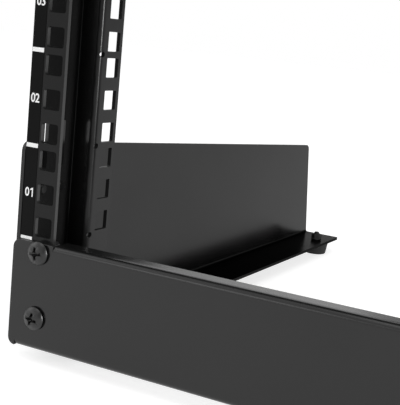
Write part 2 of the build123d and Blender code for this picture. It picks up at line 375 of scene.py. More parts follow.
def fine_scratch_group():
    """Thin hairlines: noise stretched along one direction, kept only near its peaks."""
    group, given, out = make_group("fine_scratches", {"Scale": 60.0, "Stretch": 12.0}, ["Scratch"])
    link = group.links.new
    place = group.nodes.new("ShaderNodeTexCoord").outputs["Object"]
    stretch = group.nodes.new("ShaderNodeCombineXYZ")
    for axis in "XY":
        stretch.inputs[axis].default_value = 1.0
    link(given.outputs["Stretch"], stretch.inputs["Z"])
    turned = node(group, "ShaderNodeMapping", Rotation=(0.7, 0.4, 0.9))
    link(place, turned.inputs["Vector"])
    link(stretch.outputs["Vector"], turned.inputs["Scale"])
    lines = node(group, "ShaderNodeTexNoise", Detail=4.0, Roughness=0.6)
    link(turned.outputs["Vector"], lines.inputs["Vector"])
    link(given.outputs["Scale"], lines.inputs["Scale"])
    link(remap(group, lines.outputs["Fac"], 0.62, 0.72, 0.0, 1.0), out.inputs["Scratch"])
    link = group.links.new
    return group


GRAIN = coat_grain_group()
SCRATCH = fine_scratch_group()


def placed(tree, group, **inputs):
    """Puts a node group in a material with its own values."""
    return node(tree, "ShaderNodeGroup", group=group, **inputs)


def grey(tone):
    """A colour without hue."""
    return (tone, tone, tone)


def blank_material(name):
    """A material with its surface shader, and the tree to add to."""
    material = bpy.data.materials.new(name)
    material.use_nodes = True
    return material, material.node_tree, material.node_tree.nodes["Principled BSDF"]


def tone_between(tree, mask, dark, light):
    """A colour that moves from dark to light with a mask."""
    ramp = node(tree, "ShaderNodeValToRGB")
    for stop, place, tone in zip(ramp.color_ramp.elements, (0.3, 0.7), (dark, light)):
        stop.position, stop.color = place, (*tone, 1)
    tree.links.new(mask, ramp.inputs["Fac"])
    return ramp.outputs["Color"]


def coated(name, dark, light, rough, grain_scale, grain_height, gloss=0.5, cloud_scale=18.0):
    """A baked coat: a tone that clouds slightly, satin gloss, and a fine grain in relief."""
    material, tree, shader = blank_material(name)
    grain = placed(tree, GRAIN, Grain_Scale=grain_scale, Cloud_Scale=cloud_scale)
    cloud = grain.outputs["Cloud"]
    tree.links.new(tone_between(tree, cloud, dark, light), shader.inputs["Base Color"])
    tree.links.new(remap(tree, cloud, 0.3, 0.7, *rough), shader.inputs["Roughness"])
    bump = node(tree, "ShaderNodeBump", Strength=0.5, Distance=grain_height)
    tree.links.new(grain.outputs["Grain"], bump.inputs["Height"])
    tree.links.new(bump.outputs["Normal"], shader.inputs["Normal"])
    shader.inputs["Specular IOR Level"].default_value = gloss
    return material


def dark_gloss(material, edge_tint):
    """Makes a coat mirror by its own dark tone, with less glare where it is seen at a low angle."""
    shader = material.node_tree.nodes["Principled BSDF"]
    shader.inputs["Metallic"].default_value = 1.0
    shader.inputs["Specular Tint"].default_value = (edge_tint, edge_tint, edge_tint, 1)
    return material


def plated(name, dark, light, rough, metal):
    """A plated screw or nut: metal tone with hairline scratches that are lighter."""
    material, tree, shader = blank_material(name)
    link = tree.links.new
    scratch = placed(tree, SCRATCH, Scale=900.0, Stretch=0.15)
    grain = placed(tree, GRAIN, Grain_Scale=1600.0, Cloud_Scale=220.0)
    cloud = grain.outputs["Cloud"]
    tone = tone_between(tree, cloud, dark, light)
    mix = node(tree, "ShaderNodeMix")
    mix.data_type = "RGBA"
    link(scratch.outputs["Scratch"], mix.inputs["Factor"])
    link(tone, mix.inputs["A"])
    mix.inputs["B"].default_value = (*[min(1.0, c * 1.6) for c in light], 1)
    link(mix.outputs["Result"], shader.inputs["Base Color"])
    link(remap(tree, cloud, 0.3, 0.7, *rough), shader.inputs["Roughness"])
    bump = node(tree, "ShaderNodeBump", Strength=0.3, Distance=0.00002)
    link(grain.outputs["Grain"], bump.inputs["Height"])
    link(bump.outputs["Normal"], shader.inputs["Normal"])
    shader.inputs["Metallic"].default_value = metal
    return material


FINE = {"grain_scale": 1500.0, "grain_height": 0.00002}
PLATE = {"dark": grey(0.037), "light": grey(0.041), "rough": (0.20, 0.24), **FINE}
POST_COAT = coated("post_black_coat", grey(0.007), grey(0.010), (0.19, 0.23), gloss=0.17, **FINE)
PLATE_COAT = dark_gloss(coated("foot_plate_black_coat", **PLATE), 0.65)
# The lower leg's coat is the plate's coat with less glare at low angles. The leg and its mirror
# image in the upright therefore show darker: painted shade along the crease
LEG_SHADE_COAT = dark_gloss(coated("lower_leg_painted_shade_coat", **PLATE), 0.37)
BEAM_COAT = coated("beam_black_coat", grey(0.005), grey(0.007), (0.20, 0.25), gloss=0.42, **FINE)
CUT_EDGE = coated(
    "sheared_edge_coat", grey(0.008), grey(0.013), (0.30, 0.38), 1500.0, 0.00003, gloss=0.5
)
STRIP_FILM = coated(
    "strip_black_film", grey(0.0015), grey(0.0025), (0.26, 0.32), 2500.0, 0.00001, gloss=0.08
)
PRINT_WHITE = coated(
    "strip_white_print", grey(0.92), grey(0.97), (0.45, 0.55), 3000.0, 0.000005, gloss=0.3
)
FOOT_RUBBER = coated(
    "foot_black_rubber", grey(0.010), grey(0.016), (0.65, 0.8), 1200.0, 0.00008, 0.4, 60.0
)
SCREW_BLACK = plated("screw_black_plating", grey(0.004), grey(0.007), (0.30, 0.38), 0.0)
NUT_DARK = plated("nut_dark_plating", grey(0.010), (0.018, 0.018, 0.019), (0.35, 0.45), 0.3)

# -------- posts

CELL_SHARES = np.array([0, 0.1, 0.2, 0.3, 0.7, 0.8, 0.9, 1])
INDEX_SHARES = np.array([0, 0.25, 0.5, 0.75, 1])
INDEX_CELL = 1.45
ROW_MIDS = ((HOLE_OFFSETS[0] + HOLE_OFFSETS[1]) / 2, (HOLE_OFFSETS[1] + HOLE_OFFSETS[2]) / 2)
CELL_BOUNDS = (INDEX_CELL, *ROW_MIDS, UNIT - INDEX_CELL)
# Radii of the post's three bends, at the sheet's middle, and where its hole cells lie along it
FOLD_RADII = (1.8, 1.4, 1.15)
FRONT_CELL = (0.7, 12.3)
SIDE_CELL = (SIDE_HOLE_Y - 6.0, SIDE_HOLE_Y + 6.0)
SLOT_CELL_HALF = (3.2, 12.6)
INDEX_HALF = 1.6
CORNER_MARK = 2.2
# The part of a hole cell's side that its flat takes, each way from the middle
FLAT_SHARE = 0.2


def spread(low, high, shares):
    """Numbers from low to high at the given shares of the way."""
    return low + (high - low) * np.asarray(shares, float)


def unit_rows(unit):
    """Heights of mesh lines in one unit: a narrow row at its lower mark, and three hole cells."""
    base = POST_BOTTOM + unit * UNIT
    pairs = zip(CELL_BOUNDS[:-1], CELL_BOUNDS[1:])
    cells = [spread(base + a, base + b, CELL_SHARES) for a, b in pairs]
    return np.concatenate([spread(base - INDEX_CELL, base + INDEX_CELL, INDEX_SHARES)] + cells)


def post_mesh(side):
    """A post: its folded middle line carried up the post, with the square holes of both flanges,
    the small round marks of each unit and the two slots in the web."""
    low, high = POST_BOTTOM, POST_BOTTOM + POST_LENGTH
    outer = FACE_X - OPENING_X - SHEET / 2
    slope = np.array([SHEET - (FACE_X - OPENING_X), RETURN_START - WEB_DEPTH])
    # The slanted return's middle line lies half a sheet in from the CAD section's corner line.
    normal = np.array([-slope[1], slope[0]]) / math.hypot(*slope)
    base = np.array([FACE_X - OPENING_X, WEB_DEPTH]) + normal * SHEET / 2
    rise = slope[1] / slope[0]

    def depth_at(across):
        return base[1] + rise * (across - base[0])

    side_start = depth_at(1.0)
    corners = [(0, 1.0), (outer, 1.0), (outer, depth_at(outer))]
    corners += [(1.0, side_start), (1.0, POST_DEPTH)]
    slot_cells = [(depth - SLOT_CELL_HALF[0], depth + SLOT_CELL_HALF[0]) for depth in SLOT_DEPTHS]
    marks = [
        list(spread(*FRONT_CELL, CELL_SHARES)) + [outer - CORNER_MARK],
        [w - 1.0 for cell in slot_cells for w in spread(*cell, CELL_SHARES)] + [CORNER_MARK],
        [4.0, 12.0],
        [w - side_start for w in spread(*SIDE_CELL, CELL_SHARES)],
    ]
    line, places, runs = folded_line(corners, FOLD_RADII, marks)
    # The small mark holes sit on the last bend, so their own lines are added along it.
    mark_place = runs[3] + INDEX_Y - side_start
    index_lines = spread(mark_place - INDEX_HALF, mark_place + INDEX_HALF, INDEX_SHARES)
    kept = (places < index_lines[0] - 0.05) | (places > index_lines[-1] + 0.05)
    columns = np.sort(np.concatenate([places[kept], index_lines]))
    rows = np.concatenate([unit_rows(unit) for unit in range(UNITS + 2)])
    inside = rows[(rows > low + 0.3) & (rows < high - 0.3)]
    rows = np.unique(np.round(np.append(inside, (low, high)), 5))
    holes = []
    half = (SQUARE_HALF, SQUARE_HALF)
    for unit in range(UNITS + 2):
        start = low + unit * UNIT
        for offset, cell_low, cell_high in zip(HOLE_OFFSETS, CELL_BOUNDS[:-1], CELL_BOUNDS[1:]):
            levels = (start + cell_low, start + cell_high)
            front = runs[0] + np.array(FRONT_CELL)
            centre = (HOLE_X - OPENING_X, start + offset)
            holes.append((*front, *levels, centre, half, FRONT_CORNER, FLAT_SHARE))
            if 0 < unit <= UNITS:
                back = runs[3] + np.array(SIDE_CELL) - side_start
                centre = (runs[3] + SIDE_HOLE_Y - side_start, start + offset)
                holes.append((*back, *levels, centre, half, SIDE_CORNER, FLAT_SHARE))
        if unit > 0:
            levels = (start - INDEX_CELL, start + INDEX_CELL)
            radius = (INDEX_RADIUS, INDEX_RADIUS)
            ends = (index_lines[0], index_lines[-1])
            holes.append((*ends, *levels, (mark_place, start), radius, INDEX_RADIUS, 0.0))
    for depth, cell in zip(SLOT_DEPTHS, slot_cells):
        ends = runs[1] - 1.0 + np.array(cell)
        reach = SLOT_CELL_HALF[1]
        levels = [rows[np.abs(rows - w).argmin()] for w in (SLOT_Z - reach, SLOT_Z + reach)]
        centre = (runs[1] - 1.0 + depth, SLOT_Z)
        holes.append((*ends, *levels, centre, SLOT_HALF, SLOT_CORNER, FLAT_SHARE))
    flat, faces = pierced_grid(columns, rows, holes)
    used, faces_used = np.unique(faces, return_inverse=True)
    flat, faces = flat[used], faces_used.reshape(faces.shape)
    across = np.interp(flat[:, 0], places, line[:, 0])
    depth = np.interp(flat[:, 0], places, line[:, 1])
    points = np.stack([SIDES[side] * (OPENING_X + across), FRONT_Y + depth, flat[:, 1]], axis=1)
    return to_mesh(f"post_sheet_{side}", points, faces.tolist())


for side in SIDES:
    mesh = post_mesh(side)
    post = add_piece(f"post_sheet_{side}", mesh, POST_COAT, [f"post_{side}"])
    sheet_metal(post, edge_coat=CUT_EDGE)

# -------- beams

BEAM_MID = SHEET / 2
EAR_X = OPENING_X - 1.5
TOE_X = PLATE_X - BEAM_CORNER
CORNER_STEPS = np.arange(5) / 4
EAR_Z = BEAM_TOP - BEAM_CORNER
FACE_ROWS = (18.0, 33.0, 48.0)
BEAM_BENDS = (2.0, 2.0)
FLANGE_MARK = 4.0


def beam_patches():
    """The bottom beam's middle surface in three widths: the channel between the posts, the part
    in front of each post without its upper flange, and the rounded end without any flange."""
    low, high = BEAM_BOTTOM + BEAM_MID, BEAM_TOP - BEAM_MID
    ear_rows = EAR_Z + BEAM_CORNER * CORNER_STEPS
    toe_rows = BEAM_BOTTOM + BEAM_CORNER * (1 - CORNER_STEPS)
    face_marks = [z - low for z in (BEAM_BOTTOM + BEAM_CORNER, *FACE_ROWS, EAR_Z)]
    back = BEAM_FLANGE_BACK
    channel = [(back, low), (-BEAM_MID, low), (-BEAM_MID, high), (back, high)]
    line, _, _ = folded_line(channel, BEAM_BENDS, [[FLANGE_MARK], face_marks, [FLANGE_MARK]])
    # The ear keeps the lower flange, its bend and the face up to the rounded top corner.
    lower_part = line[line[:, 1] < EAR_Z + 0.01]
    straight = np.stack([np.full(4, -BEAM_MID), ear_rows[1:]], axis=1)
    ear_line = np.concatenate([lower_part, straight])
    patches = []

    def carry(profile, xs):
        x, y = np.meshgrid(xs, profile[:, 0], indexing="ij")
        z = np.broadcast_to(profile[:, 1], x.shape)
        patches.append(patch(x, FRONT_Y + y, z))

    middle_xs = np.concatenate([[-EAR_X], np.linspace(-220, 220, 23), [EAR_X]])
    carry(line, middle_xs)
    flat_rows = np.concatenate([toe_rows[::-1], FACE_ROWS, ear_rows])
    for sign in SIDES.values():
        carry(ear_line, sign * np.linspace(EAR_X, TOE_X, 8))
        ends = TOE_X + BEAM_CORNER * CORNER_STEPS
        x, z = np.meshgrid(ends, flat_rows, indexing="ij")
        a = (x - TOE_X) / BEAM_CORNER
        top = np.clip((z - ear_rows[0]) / BEAM_CORNER, 0, 1)
        toe = np.clip((toe_rows[0] - z) / BEAM_CORNER, 0, 1)
        across, up = rounded_corner(a, np.maximum(top, toe))
        z = np.where(toe > 0, toe_rows[0] - BEAM_CORNER * up, z)
        z = np.where(top > 0, ear_rows[0] + BEAM_CORNER * up, z)
        x = sign * (TOE_X + BEAM_CORNER * across)
        y = np.full_like(x, FRONT_Y - BEAM_MID)
        patches.append(patch(x, y, z))
    return patches


def same_way_round(mesh):
    """Makes the faces of a joined middle surface agree on their outer side."""
    work = bmesh.new()
    work.from_mesh(mesh)
    bmesh.ops.recalc_face_normals(work, faces=work.faces)
    work.to_mesh(mesh)
    work.free()
    return mesh


beam_points, beam_faces = merged(beam_patches())
for place in ("bottom", "top"):
    points = beam_points.copy()
    if place == "top":
        points[:, 2] = 2 * MIDDLE_Z - points[:, 2]
    mesh = same_way_round(to_mesh(f"cross_channel_{place}", points, beam_faces.tolist()))
    beam = add_piece(f"cross_channel_{place}", mesh, BEAM_COAT, [f"{place}_beam"])
    sheet_metal(beam)

# -------- foot plates


PLATE_CORNER = 4.0
TOE_CORNER = 1.5
PLATE_BEND = 2.5
# The upright's top corners are rounded within the last twentieth of its height.
ROUND_FROM, ROUND_SPAN = 0.95, 0.05
# How far up round the bend the lower leg's darker coat reaches: painted shade along the crease
LEG_SHADE_REACH = 3.6


def foot_plate_patches(side):
    """An angle: a lower leg, a bend, and an upright leg whose top falls to the rear and whose
    rear edge leans forward. The upright is a four-sided field: each point is its front edge and
    rear edge points mixed, with the two top corners rounded."""
    small = np.array([0, 0.4, 0.8, 1.1, 1.5, 2.2, 3.0, 4.0])
    between = np.linspace(20, PLATE_LENGTH - 20, 17)
    lengths = np.concatenate([small, between, PLATE_LENGTH - small[::-1]])
    share = lengths / PLATE_LENGTH
    bend_top = PLATE_BOTTOM + SHEET / 2 + PLATE_BEND
    top_shares = ROUND_FROM + ROUND_SPAN * CORNER_STEPS
    rise = np.concatenate([[0, 0.15, 0.4, 0.65, 0.85], top_shares])
    a, b = np.meshgrid(share, rise, indexing="ij")
    edge = PLATE_CORNER / PLATE_LENGTH
    front = np.clip((edge - a) / edge, 0, 1)
    rear = np.clip((a - 1 + edge) / edge, 0, 1)
    over = np.clip((b - ROUND_FROM) / ROUND_SPAN, 0, 1)
    near, up = rounded_corner(np.maximum(front, rear), over)
    a = np.where(front > 0, edge * (1 - near), np.where(rear > 0, 1 - edge * (1 - near), a))
    b = np.where(over > 0, ROUND_FROM + ROUND_SPAN * up, b)
    top = PLATE_TOP - PLATE_FALL * a
    y = a * (PLATE_LENGTH - PLATE_LEAN * b)
    z = bend_top + (top - bend_top) * b
    x = np.full_like(y, PLATE_X - SHEET / 2)
    sign = SIDES[side]
    upright = patch(sign * x, FRONT_Y + y, z)
    turn = math.pi / 2 * np.arange(7) / 6
    bend_x = PLATE_X - SHEET / 2 - PLATE_BEND * (1 - np.cos(turn))
    bend_z = bend_top - PLATE_BEND * np.sin(turn)
    inner = PLATE_X - LEG_WIDTH
    toe = TOE_CORNER
    flat_x = np.linspace(bend_x[-1], inner + toe, 5)[1:]
    leg_x = np.concatenate([flat_x, inner + toe * (1 - CORNER_STEPS[1:])])
    profile_x = np.concatenate([bend_x, leg_x])
    profile_z = np.concatenate([bend_z, np.full(len(leg_x), PLATE_BOTTOM + SHEET / 2)])
    y, x = np.meshgrid(lengths, profile_x, indexing="ij")
    z = np.broadcast_to(profile_z, y.shape)
    front = np.clip((toe - y) / toe, 0, 1)
    rear = np.clip((y - PLATE_LENGTH + toe) / toe, 0, 1)
    over = np.clip((inner + toe - x) / toe, 0, 1)
    near, out = rounded_corner(np.maximum(front, rear), over)
    y = np.where(rear > 0, PLATE_LENGTH - toe * (1 - near), y)
    y = np.where(front > 0, toe * (1 - near), y)
    x = np.where(over > 0, inner + toe * (1 - out), x)
    return [upright, patch(sign * x, FRONT_Y + y, z)]


for side in SIDES:
    points, faces = merged(foot_plate_patches(side))
    mesh = same_way_round(to_mesh(f"foot_angle_{side}", points, faces.tolist()))
    plate = add_piece(f"foot_angle_{side}", mesh, PLATE_COAT, [f"foot_plate_{side}"])
    # Faces low down take the darker leg coat: painted shade on the lower leg and in the crease
    plate.data.materials.append(LEG_SHADE_COAT)
    centres = np.zeros(len(mesh.polygons) * 3)
    mesh.polygons.foreach_get("center", centres)
    painted_shade_faces = centres[2::3] < (PLATE_BOTTOM + LEG_SHADE_REACH) * MM
    mesh.polygons.foreach_set("material_index", painted_shade_faces.astype(np.int32))
    sheet_metal(plate, edge=0.35)

# -------- screws, nuts and feet


def all_round(eighth):
    """The angles of a whole turn, from those below an eighth of it, mirrored and repeated."""
    quarter = np.concatenate([eighth, [math.pi / 4], math.pi / 2 - eighth[:0:-1]])
    return np.concatenate([quarter + k * math.pi / 2 for k in range(4)])


def cross_angles(arm, width):
    """Angles round a cross recess, with one at each of its corners."""
    tip = math.atan2(width, arm)
    rest = math.pi / 4 - tip
    return all_round(np.array([0, tip * 0.5, tip, tip + 0.35 * rest, tip + 0.7 * rest]))


def pan_head(diameter, length, head_radius, head, pitch):
    """A pan head screw about Z with its head's underside at height 0. The recess is a cross:
    the farther of two crossed bars at each angle, and nowhere less than a quarter of the head's
    radius. The head is a dome whose height falls with a power of the radius, over a short rim.
    The thread's radius falls and rises once per pitch and turn."""
    arm, width = 0.60 * head_radius, 0.125 * head_radius
    angles = cross_angles(arm, width)
    cosine, sine = np.abs(np.cos(angles)) + 1e-9, np.abs(np.sin(angles)) + 1e-9
    bar = np.maximum(np.minimum(arm / cosine, width / sine), np.minimum(arm / sine, width / cosine))
    bar = np.maximum(bar, 0.25 * head_radius)
    one = np.ones_like(angles)
    rim = 0.3 * head
    deep = head * 0.66

    def dome(radius):
        return rim + (head - rim) * np.clip(1 - (radius / head_radius) ** 2.1, 0, 1) ** 0.8

    top_rings = [0.98 * bar, 1.06 * bar, np.maximum(1.2 * bar, 0.25 * head_radius)]
    top_rings += [np.maximum(1.12 * bar, 0.5 * head_radius)]
    top_rings += [np.maximum(1.04 * bar, 0.66 * head_radius)]
    top_rings += [share * head_radius * one for share in (0.76, 0.84, 0.9, 0.95, 0.985)]
    rings = [0.2 * bar, 0.55 * bar, 0.8 * bar] + top_rings
    levels = [(head - deep * share) * one for share in (1.0, 0.8, 0.4)]
    levels += [dome(ring) for ring in top_rings]
    rings += [(head_radius - undercut) * one for undercut in (0.0, 0.08, 0.9)]
    levels += [rim * one, 0.7 * rim * one, 0.0 * one]
    core = diameter / 2
    rings += [core * one, core * one]
    levels += [0.0 * one, -0.8 * one]
    thread_z = np.arange(-0.8 - pitch / 4, -length + 0.7, -pitch / 4)
    turns = thread_z[:, None] / pitch + angles[None, :] / (2 * math.pi)
    groove = np.abs(2 * (turns % 1.0) - 1)
    rings += list(core - 0.5 * pitch * groove)
    levels += [z * one for z in thread_z]
    rings += [(core - 0.5 * pitch) * one, (core - 0.7 * pitch) * one]
    levels += [(-length + 0.5) * one, -length * one]
    return ring_stack(np.array(rings), np.array(levels), angles)


def place_screw(name, shape, turn, axis, spot, material, cad_node):
    """Turns a screw about its own axis, points its head to the front or, where the axis is a
    sign, outward along X, and seats it."""
    points, faces = shape
    c, s = math.cos(turn), math.sin(turn)
    x, y = points[:, 0] * c - points[:, 1] * s, points[:, 0] * s + points[:, 1] * c
    z = points[:, 2]
    if axis == "front":
        turned = np.stack([x, -z, y], axis=1)
    else:
        turned = np.stack([axis * z, axis * x, y], axis=1)
    turned = turned + np.array(spot)
    faces = plain_faces(outward(turned, faces))
    mesh = to_mesh(name, turned, faces, sharp=38)
    return add_piece(name, mesh, material, [cad_node])


beam_screw = pan_head(diameter=6.0, length=14.0, head_radius=5.7, head=3.6, pitch=1.0)
side_screw = pan_head(diameter=5.0, length=6.0, head_radius=4.6, head=2.6, pitch=0.8)
SCREW_LEVELS = {
    "upper": POST_BOTTOM + HOLE_OFFSETS[2] + SCREW_LIFT,
    "lower": POST_BOTTOM + HOLE_OFFSETS[0] + SCREW_LIFT,
}
NUT_BACK = FRONT_Y + SHEET
NUT_HALF = 5.1
NUT_CUT = 3.92
NUT_CHAMFER = 0.35
NUT_BORE, NUT_BORE_EDGE = 3.3, 3.9
LOCK_NUT_Z = 12.0
# Turns of the two screws that the photograph shows
SEEN_TURNS = {1: 0.08, 2: -0.2}


def nut_shape():
    """A square nut along Z: outer rings of a square with cut corners, a chamfered round bore."""
    angles = all_round(np.radians([0, 12.5, 25, 37.57]))
    cosine, sine = np.abs(np.cos(angles)) + 1e-9, np.abs(np.sin(angles)) + 1e-9
    square = np.minimum(NUT_HALF / cosine, NUT_HALF / sine)
    square = np.minimum(square, (NUT_HALF + NUT_CUT) / (cosine + sine))
    one = np.ones_like(angles)
    rings = [square - NUT_CHAMFER, square, square, square - NUT_CHAMFER]
    rings += [radius * one for radius in (NUT_BORE_EDGE, NUT_BORE, NUT_BORE, NUT_BORE_EDGE)]
    levels = [0, NUT_CHAMFER, 4.65, 5.0, 5.0, 4.4, 0.6, 0.0]
    return ring_stack(np.array(rings), np.array(levels), angles, looped=True)


def nut_mesh(name, spot):
    """The nut turned to lie behind the post's flange."""
    points, faces = nut_shape()
    points = np.stack([points[:, 0], points[:, 2], points[:, 1]], axis=1) + np.array(spot)
    return to_mesh(name, points, outward(points, faces).tolist(), sharp=30)


turn_count = 0
for place in ("bottom", "top"):
    for side, sign in SIDES.items():
        for level, height in SCREW_LEVELS.items():
            if place == "top":
                height = 2 * MIDDLE_Z - height
            turn_count += 1
            where = f"{place}_{side}_{level}"
            cad = f"{side}_{level}"
            spot = (sign * HOLE_X, FRONT_Y - SHEET, height)
            turn = SEEN_TURNS.get(turn_count, 0.5 + 0.83 * turn_count)
            place_screw(f"pan_head_{where}", beam_screw, turn, "front", spot,
                        SCREW_BLACK, f"{place}_beam_screw_{cad}")
            nut_name = f"square_nut_{where}"
            nut_spot = (sign * HOLE_X, NUT_BACK, height)
            add_piece(nut_name, nut_mesh(nut_name, nut_spot), NUT_DARK,
                      [f"{place}_beam_nut_{cad}"])

SIDE_LEVELS = {"upper": FIRST_UNIT + UNIT / 2, "lower": FIRST_UNIT - UNIT / 2}
for side, sign in SIDES.items():
    for rank, depth in zip(("front", "rear"), SIDE_SCREW_DEPTHS):
        for level, height in SIDE_LEVELS.items():
            turn_count += 1
            where = f"{side}_{rank}_{level}"
            spot = (sign * PLATE_X, FRONT_Y + depth, height)
            place_screw(f"side_pan_head_{where}", side_screw, 0.2 + 0.71 * turn_count, sign, spot,
                        SCREW_BLACK, f"side_screw_{where}")


def rubber_foot_mesh(name, spot):
    """A foot turned about its axis: a moulded hollow in the tread, a rounded tread, a wall that
    widens upward, and above the plate a small domed cap on its stem."""
    angles = np.linspace(0, 2 * math.pi, 49)[:-1]
    hollow = [(2.0, 2.2), (3.4, 2.1), (3.9, 1.6), (4.2, 0.4)]
    tread = [(4.7, 0.05), (5.3, 0.0), (7.2, 0.0), (7.9, 0.12), (8.35, 0.55), (8.55, 1.4)]
    wall = [(8.8, 3.0), (9.15, 5.2), (9.5, 7.4), (9.7, 8.55), (9.72, 8.85), (9.55, 9.0)]
    stem = [(2.3, 9.0), (2.3, 11.0)]
    cap = [(3.7, 11.0), (4.0, 11.15), (3.9, 11.5), (3.3, 11.85), (2.2, 11.98), (1.0, 12.0)]
    profile = np.array(hollow + tread + wall + stem + cap)
    points, faces = ring_stack(profile[:, :1], profile[:, 1], angles)
    return to_mesh(name, points + np.array(spot), plain_faces(faces), sharp=50)


def lock_nut_shape():
    """A small six-sided nut with a chamfered top and the domed end of its screw standing in it.
    The side's distance from the axis grows from the middle of a flat as one over the cosine."""
    angles = np.radians(np.arange(0, 360, 10.0))
    flat = 3.5 / np.cos((angles + math.pi / 6) % (math.pi / 3) - math.pi / 6)
    one = np.ones_like(angles)
    rings = [flat, flat, np.minimum(flat, 3.75)]
    rings += [radius * one for radius in (3.4, 1.9, 1.85, 1.6, 1.0)]
    levels = [-0.2, 2.5, 2.9, 3.1, 3.1, 4.2, 4.6, 4.75]
    return ring_stack(np.array(rings), np.array(levels), angles)


for side, sign in SIDES.items():
    for rank, depth in FOOT_PLACES.items():
        name = f"grip_foot_{side}_{rank}"
        mesh = rubber_foot_mesh(name, (sign * FOOT_X, depth, 0.0))
        add_piece(name, mesh, FOOT_RUBBER, [f"rubber_foot_{side}_{rank}"])
        name = f"foot_lock_nut_{side}_{rank}"
        points, faces = lock_nut_shape()
        points = points + np.array((sign * FOOT_X, depth, LOCK_NUT_Z))
        mesh = to_mesh(name, points, plain_faces(faces), sharp=28)
        add_piece(name, mesh, FOOT_RUBBER)

# -------- unit strips and their print

PRINT_LIFT = 0.02
MARK_HEIGHT = 2.0
DIGIT_HEIGHT = 4.3
DIGIT_STRETCH = 0.88
FILM_OVERHANG = 0.5
MARK_INSET = 0.15
BOX_CORNERS = [[0, 0, 0], [1, 0, 0], [1, 0, 1], [0, 0, 1]]
BOX_CORNERS += [[0, 1, 0], [1, 1, 0], [1, 1, 1], [0, 1, 1]]
BOX_FACES = [[0, 1, 2, 3], [5, 4, 7, 6], [4, 0, 3, 7], [1, 5, 6, 2], [3, 2, 6, 7], [4, 5, 1, 0]]


def flat_boxes(lows, highs, y, depth):
    """Thin upright plates, one per row of lows and highs (x, z), joined in one mesh."""
    lows, highs = np.asarray(lows, float), np.asarray(highs, float)
    corner = np.array(BOX_CORNERS)
    low = np.stack([lows[:, 0], np.full(len(lows), y - depth), lows[:, 1]], axis=1)
    high = np.stack([highs[:, 0], np.full(len(lows), y), highs[:, 1]], axis=1)
    points = low[:, None] + (high - low)[:, None] * corner[None]
    starts = np.arange(len(lows))[:, None, None] * 8
    faces = (starts + np.array(BOX_FACES)[None]).reshape(-1, 4)
    return points.reshape(-1, 3), faces


def number_outline(text):
    """The filled outline of a printed digit, centred on its middle, one unit high."""
    curve = bpy.data.curves.new("number", "FONT")
    curve.body = text
    curve.offset = 0.018
    curve.resolution_u = 6
    holder = new_object("number", curve)
    bpy.context.view_layer.update()
    flat = bpy.data.meshes.new_from_object(holder)
    places = np.zeros(len(flat.vertices) * 3)
    flat.vertices.foreach_get("co", places)
    places = places.reshape(-1, 3)[:, :2]
    corners = [list(face.vertices) for face in flat.polygons]
    bpy.data.objects.remove(holder)
    bpy.data.curves.remove(curve)
    bpy.data.meshes.remove(flat)
    low, high = places.min(0), places.max(0)
    return (places - (low + high) / 2) / (high[1] - low[1]), corners


def digit_outline(digit):
    """A digit's filled outline, one unit high. The one is an upright bar with a slanted flag."""
    if digit != "1":
        return number_outline(digit)
    bar = [(0.06, -0.5), (0.22, -0.5), (0.22, 0.5), (0.08, 0.5)]
    flag = [(0.06, 0.28), (-0.2, 0.2), (-0.2, 0.34)]
    return np.array(bar + flag), [[0, 1, 2, 4], [4, 2, 3], [4, 3, 6, 5]]


def two_digits(text):
    """Two digits side by side about their middle, one unit high, and the faces of both."""
    (left, left_faces), (right, right_faces) = (digit_outline(d) for d in text)
    left = left + np.array([-0.33, 0.0])
    right = right + np.array([0.33, 0.0])
    faces = left_faces + [[c + len(left) for c in face] for face in right_faces]
    return np.concatenate([left, right]), faces


def strip_numbers(side):
    """All the unit numbers of one strip, each at the middle of its unit, as one flat mesh."""
    middle_x = SIDES[side] * (STRIP_OUTER_X + STRIP_INNER_X) / 2
    points, faces, total = [], [], 0
    for unit in range(UNITS):
        shape, corners = two_digits(f"{unit + 1:02d}")
        flat = shape * np.array([DIGIT_STRETCH, 1.0]) * DIGIT_HEIGHT
        height = FIRST_UNIT + (unit + 0.5) * UNIT
        y = np.full(len(flat), STRIP_FRONT_Y - PRINT_LIFT)
        points.append(np.stack([middle_x + flat[:, 0], y, height + flat[:, 1]], axis=1))
        faces += [[c + total for c in face] for face in corners]
        total += len(flat)
    return to_mesh(f"unit_numbers_{side}", np.concatenate(points), faces, smooth=False)


for side, sign in SIDES.items():
    ends = np.sort([sign * STRIP_OUTER_X, sign * STRIP_INNER_X])
    foot_z, head_z = FIRST_UNIT - FILM_OVERHANG, LAST_UNIT + FILM_OVERHANG
    low, high = (ends[0], foot_z), (ends[1], head_z)
    points, faces = flat_boxes([low], [high], FRONT_Y, FRONT_Y - STRIP_FRONT_Y)
    mesh = to_mesh(f"unit_film_{side}", points, faces.tolist(), smooth=False)
    add_piece(f"unit_film_{side}", mesh, STRIP_FILM, [f"unit_strip_{side}"])
    marks = FIRST_UNIT + UNIT * np.arange(UNITS + 1)
    edges = np.sort([sign * (STRIP_OUTER_X - MARK_INSET), sign * (STRIP_INNER_X + MARK_INSET)])
    marks_low = np.clip(marks - MARK_HEIGHT / 2, foot_z, None)
    marks_high = np.clip(marks + MARK_HEIGHT / 2, None, head_z)
    lows = np.stack([np.full(len(marks), edges[0]), marks_low], axis=1)
    highs = np.stack([np.full(len(marks), edges[1]), marks_high], axis=1)
    points, faces = flat_boxes(lows, highs, STRIP_FRONT_Y, PRINT_LIFT)
    mesh = to_mesh(f"unit_marks_{side}", points, faces.tolist(), smooth=False)
    add_piece(f"unit_marks_{side}", mesh, PRINT_WHITE)
    numbers = add_piece(f"unit_numbers_{side}", strip_numbers(side), PRINT_WHITE)
    weld = numbers.modifiers.new("weld", "WELD")
    weld.merge_threshold = 0.00001
    ink = numbers.modifiers.new("ink", "SOLIDIFY")
    ink.thickness = PRINT_LIFT * MM
    ink.offset = -1.0

# -------- floor, light and camera

FLOOR_TONE = 0.5
FLOOR_GLOW = 0.7
SOFT_LIGHT = 0.6
DARK_STUDIO = 0.05
IMAGE_WIDTH, IMAGE_HEIGHT = 400, 405
SENSOR_WIDTH = 36.0
